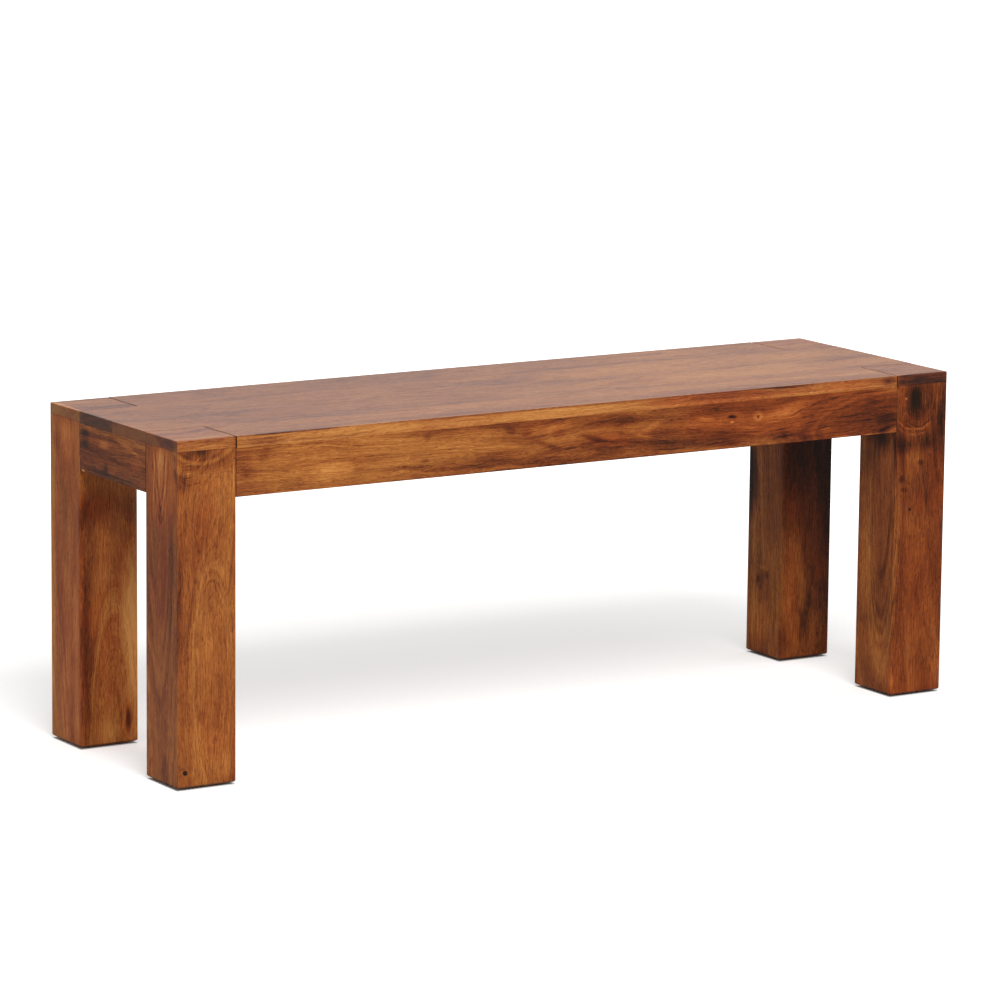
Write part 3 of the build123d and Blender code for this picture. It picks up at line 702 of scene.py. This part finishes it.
timber("cap_back_right", pith=(60, 340), tone=0.4, red=0.3, ring=7, seed=27.7)

timber("seat_stave_middle_1", pith=(-60, 240), lean=(0.03, 0.02), tone=0.55, red=-0.2, seed=30.3,
       contrast=0.8, marks=[
    mark(0, 131, 7, (8, 60, 30), -0.1, 0.8, 0.5),
    # Painted sheen: the top is paler towards its right, where the lacquer's reflection grows
    mark(950, 131, 0, (460, 70, 12), -0.16, 0.0, 0.3),
])

timber("seat_stave_middle_2", pith=(40, 260), lean=(-0.02, 0.03), tone=0.55, red=-0.2, seed=33.9,
       contrast=0.8, marks=[
    mark(0, 219, 7, (8, 60, 30), 0.16, -0.1, 0.5),
    # Painted sheen: the top is paler towards its right, where the lacquer's reflection grows
    mark(950, 219, 0, (460, 70, 12), -0.16, 0.0, 0.3),
])

timber("seat_stave_back", pith=(150, 230), lean=(0.03, -0.02), tone=0.57, red=-0.2, seed=36.6, contrast=0.8,
       marks=[
    # Painted sheen: the top is paler towards its right, where the lacquer's reflection grows
    mark(1000, 300, 0, (300, 70, 12), -0.09, 0.0, 0.3),
])

# The aprons that are seldom seen have no marks of their own
timber("apron_back", pith=(90, 320), lean=(0.03, 0.02), tone=0.48, red=0.5, ring=8, seed=39.1)
timber("apron_right", grain="Y", pith=(-560, 260), lean=(0.04, -0.03), tone=0.5, red=0.5, seed=42.8)

# Braces and battens are left as the saw left them, with a thin coat that has sunk in
sawn = dict(gloss=(0.62, 0.8), saw=0.6)
dress([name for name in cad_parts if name.startswith("corner_brace_")],
      sheesham("sawn_sheesham_braces", "X", (0, 330), tone=0.5, seed=44, **sawn))
dress(["batten_left", "batten_middle", "batten_right"],
      sheesham("sawn_sheesham_battens", "Y", (500, 330), tone=0.46, seed=47, **sawn))


def turned_beech():
    """Beech turned to dowels: pale pinkish wood with short dark flecks along the grain.

    A fleck is about 0.3 mm wide and a fibre far finer. They are drawn 0.7 mm and 0.9 mm wide to show.
    """
    fibre_size = (0.9, 0.9, 12)
    fleck_size = (0.7, 0.7, 3)
    fleck_edge = (0.62, 0.7)
    material, put = new_material("turned_beech")
    here = place_in_mm(put)
    fibres = pattern(put, here, fibre_size, 3, detail=3.0, roughness=0.6)
    flecks = put("ShaderNodeMapRange", pattern(put, here, fleck_size, 9), *fleck_edge)
    colour = colour_run(put, fibres, [(0.25, "#DDB98B"), (0.75, "#B98A5B")])
    colour = put("ShaderNodeMix", flecks, out=2, data_type="RGBA",
                 named={6: colour, 7: linear("#8F6038")})
    shader = put("ShaderNodeBsdfPrincipled", named={"Base Color": colour, "Roughness": 0.62, "IOR": 1.45})
    put("ShaderNodeOutputMaterial", shader)
    return material


def moulded_polyethylene():
    """Black polyethylene from a mould: a waxy dark plastic, scuffed a little paler where it slides.

    The mould's grain is about 0.3 mm wide, too fine to show, and is drawn 0.6 mm wide.
    """
    grain_size = (0.6, 0.6, 0.6)
    grain_height = 0.04
    scuff_size = (14, 5, 5)
    gloss = (0.42, 0.6)
    material, put = new_material("moulded_black_polyethylene")
    here = place_in_mm(put)
    grain = pattern(put, here, grain_size, 5)
    scuffs = pattern(put, here, scuff_size, 8, detail=3.0, roughness=0.6)
    colour = colour_run(put, scuffs, [(0.3, "#1B1B1C"), (0.8, "#2C2B2B")])
    rough = put("ShaderNodeMapRange", scuffs, *NOISE_SPAN, *gloss)
    bump = put("ShaderNodeBump", named={
        "Height": grain, "Strength": 0.3, "Distance": grain_height * MM})
    shader = put("ShaderNodeBsdfPrincipled", named={
        "Base Color": colour, "Normal": bump, "Roughness": rough, "IOR": 1.51})
    put("ShaderNodeOutputMaterial", shader)
    return material


def zinc_plated_steel():
    """Steel, bright zinc plated: a cool grey metal, cloudy where the plating took unevenly.

    The clouds are about 3 mm wide, as on real plating.
    """
    cloud_size = (3, 3, 3)
    gloss = (0.26, 0.42)
    material, put = new_material("zinc_plated_steel")
    here = place_in_mm(put)
    clouds = pattern(put, here, cloud_size, 2, detail=3.0, roughness=0.6)
    colour = colour_run(put, clouds, [(0.3, "#C9CBCE"), (0.55, "#B4B8BC"), (0.8, "#A9A79B")])
    rough = put("ShaderNodeMapRange", clouds, *NOISE_SPAN, *gloss)
    shader = put("ShaderNodeBsdfPrincipled", named={
        "Base Color": colour, "Metallic": 1.0, "Roughness": rough})
    put("ShaderNodeOutputMaterial", shader)
    return material


dress([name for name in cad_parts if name.endswith("_dowels")], turned_beech())
dress([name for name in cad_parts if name.startswith("glide_")], moulded_polyethylene())

# The screws and bolts under the seat. Their sizes and places are in millimetres, as the timber's are.
CORNERS = [(-1, -1), (1, -1), (-1, 1), (1, 1)]
# At each joint of a brace, two fasteners sit one over the other at these heights
HEIGHTS = (390.25, 416.25)
# At the back right corner: where the screws into the long and end aprons start, and the bolts in the leg
LONG_APRON_SCREW = (474.32, 143.0)
END_APRON_SCREW = (568.0, 49.32)
LEG_BOLT = (535.0, 110.0)
# The battens' screws: each batten's middle, their lines across the seat, their height and their length
BATTENS = (-348, 0, 348)
BATTEN_LINES = (-121.85, -45.35, 45.35, 121.85)
BATTEN_SCREW_HEIGHT = 420.5
BATTEN_SCREW_LENGTH = 23.5
# Sides of the round shapes
HEAD_SIDES = 28
SCREW_SIDES = 20
BOLT_SIDES = 24


def fastener_tree(name, sizes):
    """An empty Geometry Nodes tree with these sizes as inputs, what adds nodes to it, and its inputs."""
    tree = bpy.data.node_groups.new(name, "GeometryNodeTree")
    tree.interface.new_socket("Places", in_out="INPUT", socket_type="NodeSocketGeometry")
    for label, size in sizes.items():
        tree.interface.new_socket(label, in_out="INPUT", socket_type="NodeSocketFloat").default_value = size
    tree.interface.new_socket("Metal", in_out="INPUT", socket_type="NodeSocketMaterial")
    tree.interface.new_socket("Fasteners", in_out="OUTPUT", socket_type="NodeSocketGeometry")
    put = partial(add, tree)
    return tree, put, put("NodeGroupInput").node.outputs


def lathe(put, path, radius, sides):
    """A closed turned shape: a circle of radius 1, run along a path and scaled to each point's radius."""
    circle = put("GeometryNodeCurvePrimitiveCircle", sides)
    return put("GeometryNodeCurveToMesh", put("GeometryNodeMeshToCurve", path), circle, radius, True)


def set_out(put, given, shapes):
    """Sets the shapes, as one, at every place, turned to its `aim`, and ends the tree."""
    whole = put("GeometryNodeJoinGeometry")
    for shape in shapes:
        whole.id_data.links.new(shape, whole.node.inputs[0])
    aim = put("GeometryNodeInputNamedAttribute", "aim", data_type="FLOAT_VECTOR")
    turn = put("FunctionNodeAlignRotationToVector", named={"Vector": aim}, axis="Z")
    copies = put("GeometryNodeInstanceOnPoints", given["Places"], named={"Instance": whole, "Rotation": turn})
    real = put("GeometryNodeRealizeInstances", copies)
    put("NodeGroupOutput", put("GeometryNodeSetMaterial", real, named={"Material": given["Metal"]}))


def pan_head_screw():
    """A pan-head wood screw with a cross recess. Z goes into the wood, from under its head."""
    tree, put, given = fastener_tree("pan_head_screw", {
        "Head radius": 4.0, "Head height": 2.8, "Shank radius": 2.0, "Length": 25.0, "Point": 3.5,
        "Recess length": 4.4, "Recess width": 1.0, "Recess depth": 1.7})
    # The head's outline is a quarter of a full-shouldered oval. It stops just short of a point.
    rings, shoulder, short = 9, 2.6, 0.05
    step = put("ShaderNodeMath", given["Head height"], -1 / rings, operation="MULTIPLY")
    step = put("ShaderNodeCombineXYZ", 0.0, 0.0, step)
    share = put("ShaderNodeMath", put("GeometryNodeInputIndex"), 1 / (rings + short), operation="MULTIPLY")
    share = put("ShaderNodeMath", share, shoulder, operation="POWER")
    share = put("ShaderNodeMath", 1.0, share, operation="SUBTRACT")
    share = put("ShaderNodeMath", share, 1 / shoulder, operation="POWER")
    radius = put("ShaderNodeMath", share, given["Head radius"], operation="MULTIPLY")
    head = lathe(put, put("GeometryNodeMeshLine", rings + 1, named={"Offset": step}), radius, HEAD_SIDES)
    top = put("ShaderNodeMath", given["Head height"], -1.0, operation="MULTIPLY")
    deep = put("ShaderNodeMath", given["Recess depth"], 2.0, operation="MULTIPLY")
    for sides in (("Recess length", "Recess width"), ("Recess width", "Recess length")):
        size = put("ShaderNodeCombineXYZ", *(given[side] for side in sides), deep)
        slot = put("GeometryNodeMeshCube", size)
        place = put("ShaderNodeCombineXYZ", 0.0, 0.0, top)
        slot = put("GeometryNodeTransform", slot, named={"Translation": place})
        head = put("GeometryNodeMeshBoolean", head, slot, operation="DIFFERENCE", solver="EXACT")
    straight = put("ShaderNodeMath", given["Length"], given["Point"], operation="SUBTRACT")
    shank = put("GeometryNodeMeshCone", SCREW_SIDES, 1, 1, given["Shank radius"], given["Shank radius"],
                straight)
    point = put("GeometryNodeMeshCone", SCREW_SIDES, 1, 1, 0.0, given["Shank radius"], given["Point"])
    place = put("ShaderNodeCombineXYZ", 0.0, 0.0, straight)
    point = put("GeometryNodeTransform", point, named={"Translation": place})
    set_out(put, given, [head, shank, point])
    return tree


def hanger_bolt():
    """A hanger bolt: a pointed end in the leg, and a machine thread that the nut runs on.

    Z goes out of the leg. The thread's pitch is 1.25 mm. It is drawn as rings, since a helix so
    fine looks the same.
    """
    tree, put, given = fastener_tree("hanger_bolt", {
        "Radius": 4.0, "Core radius": 3.3, "Bite": 45.0, "Point": 5.0, "Pitch": 1.25, "Turns": 10.0,
        "Reach": 35.6})
    threaded = put("ShaderNodeMath", given["Turns"], given["Pitch"], operation="MULTIPLY")
    plain = put("ShaderNodeMath", given["Reach"], threaded, operation="SUBTRACT")
    points = put("ShaderNodeMath", given["Turns"], 2.0, 1.0, operation="MULTIPLY_ADD")
    half_pitch = put("ShaderNodeMath", given["Pitch"], 0.5, operation="MULTIPLY")
    path = put("GeometryNodeMeshLine", points, named={
        "Start Location": put("ShaderNodeCombineXYZ", 0.0, 0.0, plain),
        "Offset": put("ShaderNodeCombineXYZ", 0.0, 0.0, half_pitch)})
    crest = put("ShaderNodeMath", put("GeometryNodeInputIndex"), 2.0, operation="MODULO")
    radius = put("ShaderNodeMapRange", crest, 0.0, 1.0, given["Core radius"], given["Radius"])
    thread = lathe(put, path, radius, BOLT_SIDES)
    rod = put("GeometryNodeMeshCone", BOLT_SIDES, 1, 1, given["Radius"], given["Radius"], plain)
    buried = put("ShaderNodeMath", given["Bite"], given["Point"], operation="SUBTRACT")
    over = (math.pi, 0.0, 0.0)
    core = put("GeometryNodeMeshCone", BOLT_SIDES, 1, 1, given["Core radius"], given["Core radius"], buried)
    core = put("GeometryNodeTransform", core, named={"Rotation": over})
    end = put("ShaderNodeMath", buried, -1.0, operation="MULTIPLY")
    point = put("GeometryNodeMeshCone", BOLT_SIDES, 1, 1, 0.0, given["Core radius"], given["Point"])
    place = put("ShaderNodeCombineXYZ", 0.0, 0.0, end)
    point = put("GeometryNodeTransform", point, named={"Rotation": over, "Translation": place})
    set_out(put, given, [thread, rod, core, point])
    return tree


def set_fasteners(node, tree, places, metal, **sizes):
    """Puts a fastener at every (place, aim), both in millimetres, as one piece in place of a CAD node."""
    spots = bpy.data.meshes.new(node + "_places")
    spots.from_pydata([place for place, _ in places], [], [])
    aims = spots.attributes.new("aim", "FLOAT_VECTOR", "POINT")
    aims.data.foreach_set("vector", [part for _, aim in places for part in aim])
    maker = bpy.data.objects.new(node + "_places", spots)
    bpy.context.collection.objects.link(maker)
    growth = maker.modifiers.new("fasteners", "NODES")
    growth.node_group = tree
    inputs = {item.name: item.identifier for item in tree.interface.items_tree if item.in_out == "INPUT"}
    growth[inputs["Metal"]] = metal
    for label, size in sizes.items():
        growth[inputs[label.replace("_", " ").capitalize()]] = size
    mesh = bpy.data.meshes.new_from_object(maker.evaluated_get(bpy.context.evaluated_depsgraph_get()))
    mesh.transform(Matrix.Scale(MM, 4))
    mesh.polygons.foreach_set("material_index", [0] * len(mesh.polygons))
    mesh.materials.clear()
    mesh.materials.append(metal)
    maker.modifiers.remove(growth)
    bpy.data.objects.remove(maker)
    piece = bpy.data.objects.new("steel_" + node, mesh)
    bpy.context.collection.objects.link(piece)
    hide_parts(node)
    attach(piece, "root")


def at_corners(place, aim):
    """A place and aim at the back right corner, repeated at all four corners and both heights."""
    return [((x * place[0], y * place[1], height), (x * aim[0], y * aim[1], 0.0))
            for x, y in CORNERS for height in HEIGHTS]


steel = zinc_plated_steel()
dress(["bolt_washers", "bolt_nuts"], steel)
screw = pan_head_screw()
into_aprons = at_corners(LONG_APRON_SCREW, (0.0, 1.0)) + at_corners(END_APRON_SCREW, (1.0, 0.0))
set_fasteners("brace_screws", screw, into_aprons, steel)
into_staves = [((x, y, BATTEN_SCREW_HEIGHT), (0.0, 0.0, 1.0)) for x in BATTENS for y in BATTEN_LINES]
set_fasteners("batten_screws", screw, into_staves, steel, length=BATTEN_SCREW_LENGTH)
set_fasteners("hanger_bolts", hanger_bolt(), at_corners(LEG_BOLT, (-1.0, -1.0)), steel)

# The studio, in metres: a pale floor that goes on into a white surround, and one broad soft lamp
FLOOR_HALF = 30.0
# The camera sees the floor glow more from near the bench to further out, until it is white
WHITENS = (0.5, 2.2)
GLOW = (0.42, 1.0)
SURROUND_LIGHT = 0.47
LAMP_SIZE = (2.6, 1.8)
LAMP_PLACE = (-1.1, -3.4, 3.7)
LAMP_AIM = (0, 0, 0.3)
LAMP_WATTS = 165.0


def make_floor():
    """A floor painted matt white, which takes the bench's shadow and gives no shine."""
    mesh = bpy.data.meshes.new("studio_floor")
    corners = [(-FLOOR_HALF, -FLOOR_HALF, 0), (FLOOR_HALF, -FLOOR_HALF, 0),
               (FLOOR_HALF, FLOOR_HALF, 0), (-FLOOR_HALF, FLOOR_HALF, 0)]
    mesh.from_pydata(corners, [], [(0, 1, 2, 3)])
    floor = bpy.data.objects.new("studio_floor", mesh)
    bpy.context.collection.objects.link(floor)
    material, put = new_material("matt_white_floor")
    matt = put("ShaderNodeBsdfDiffuse", linear("#CCCBC9"))
    place = put("ShaderNodeTexCoord", out="Object")
    away = put("ShaderNodeVectorMath", place, operation="LENGTH", out="Value")
    white = put("ShaderNodeMapRange", away, *WHITENS, *GLOW, interpolation_type="SMOOTHSTEP")
    # Under each foot nothing glows, so that the shadow stays darkest there
    first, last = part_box("leg_back_right")
    foot = [(a + b) / 2 for a, b in zip(first, last)]
    half = (last[0] - first[0]) / 2
    side = put("ShaderNodeVectorMath", place, operation="ABSOLUTE")
    side = put("ShaderNodeVectorMath", side, (foot[0], foot[1], 0), operation="SUBTRACT")
    side = put("ShaderNodeVectorMath", side, operation="ABSOLUTE")
    parts = put("ShaderNodeSeparateXYZ", side).node.outputs
    out_of_foot = put("ShaderNodeMath", parts["X"], parts["Y"], operation="MAXIMUM")
    bare = put("ShaderNodeMath", out_of_foot, half, operation="GREATER_THAN")
    glow = put("ShaderNodeMath", white, bare, operation="MULTIPLY")
    glow = put("ShaderNodeEmission", linear("#FFFFFF"), glow)
    lit = put("ShaderNodeAddShader", put("ShaderNodeBsdfDiffuse", linear("#F4F3F1")), glow)
    seen = put("ShaderNodeLightPath", out="Is Camera Ray")
    floor_shader = put("ShaderNodeMixShader", seen, matt, lit)
    # From below, the floor is clear, so that the underside of the bench can be looked at
    under = put("ShaderNodeNewGeometry", out="Backfacing")
    under = put("ShaderNodeMath", under, seen, operation="MULTIPLY")
    clear = put("ShaderNodeBsdfTransparent")
    put("ShaderNodeOutputMaterial", put("ShaderNodeMixShader", under, floor_shader, clear))
    mesh.materials.append(material)


def make_light():
    """An even pale surround, seen as white, and a soft box in front of the bench and above it."""
    world = bpy.data.worlds.new("studio")
    bpy.context.scene.world = world
    world.use_nodes = True
    world.node_tree.nodes.clear()
    put = partial(add, world.node_tree)
    rays = put("ShaderNodeLightPath").node.outputs
    seen = put("ShaderNodeMath", rays["Is Camera Ray"], rays["Is Glossy Ray"], operation="MAXIMUM")
    seen = put("ShaderNodeMath", seen, rays["Is Transmission Ray"], operation="MAXIMUM")
    soft = put("ShaderNodeBackground", linear("#FFFFFF"), SURROUND_LIGHT)
    white = put("ShaderNodeBackground", linear("#FFFFFF"), 1.0)
    put("ShaderNodeOutputWorld", put("ShaderNodeMixShader", seen, soft, white))

    lamp = bpy.data.lights.new("soft_box", "AREA")
    lamp.shape = "RECTANGLE"
    lamp.size, lamp.size_y = LAMP_SIZE
    lamp.energy = LAMP_WATTS
    box = bpy.data.objects.new("soft_box", lamp)
    box.location = LAMP_PLACE
    box.rotation_mode = "QUATERNION"
    box.rotation_quaternion = (Vector(LAMP_PLACE) - Vector(LAMP_AIM)).to_track_quat("Z", "Y")
    bpy.context.collection.objects.link(box)


def make_camera():
    """The photograph's viewpoint, solved from the bench's own corners."""
    stand = (-3.5475, -5.6516, 1.5142)
    sensor = 36.0
    focal_px = 5035.6
    frame_px = 1000.0
    azimuth = math.radians(32.018)
    elevation = math.radians(-10.357)
    roll = math.radians(0.586)
    data = bpy.data.cameras.new("camera")
    data.sensor_width = sensor
    data.lens = sensor * focal_px / frame_px
    camera = bpy.data.objects.new("camera", data)
    place = Matrix.Translation(stand)
    turn = Matrix.Rotation(-azimuth, 4, "Z") @ Matrix.Rotation(math.pi / 2 + elevation, 4, "X")
    camera.matrix_world = place @ turn @ Matrix.Rotation(roll, 4, "Z")
    data.clip_start, data.clip_end = 0.1, 100.0
    bpy.context.collection.objects.link(camera)
    bpy.context.scene.camera = camera


make_floor()
make_light()
make_camera()
bpy.context.scene.view_settings.view_transform = "Standard"
